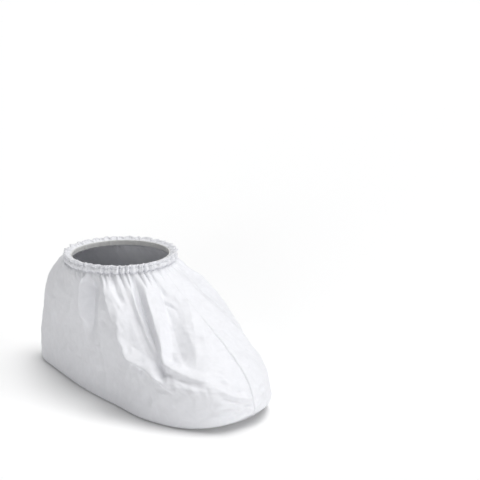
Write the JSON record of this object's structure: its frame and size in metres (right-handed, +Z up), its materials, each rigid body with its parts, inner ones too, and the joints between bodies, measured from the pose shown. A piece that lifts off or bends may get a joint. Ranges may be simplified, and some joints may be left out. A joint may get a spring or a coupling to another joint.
{
  "type": "disposable shoe cover",
  "caption": "Disposable cloth overshoe for a right foot: seamed side panels, flat sole and a puckered elastic ankle hem.",
  "frame": {"origin": "middle of the footprint, on the floor that the sole rests on", "axes": "+X from the heel to the toe, -Y to the outer side of the foot, +Z up"},
  "size_m": [0.303, 0.137, 0.1378],
  "materials": {
    "nonwoven_cloth": "crisp white flash-spun nonwoven, softly glossy, finely crumpled",
    "sole_cloth": "white nonwoven sole, slightly rougher than the sides",
    "hem_cloth": "white nonwoven, doubled and puckered",
    "elastic": "white ribbed elastic tape, matt"
  },
  "bodies": {
    "root": {"outer_side_panel": "nonwoven_cloth", "inner_side_panel": "nonwoven_cloth", "sole_panel": "sole_cloth", "ankle_hem": "hem_cloth", "ankle_elastic": "elastic"}
  },
  "joints": []
}
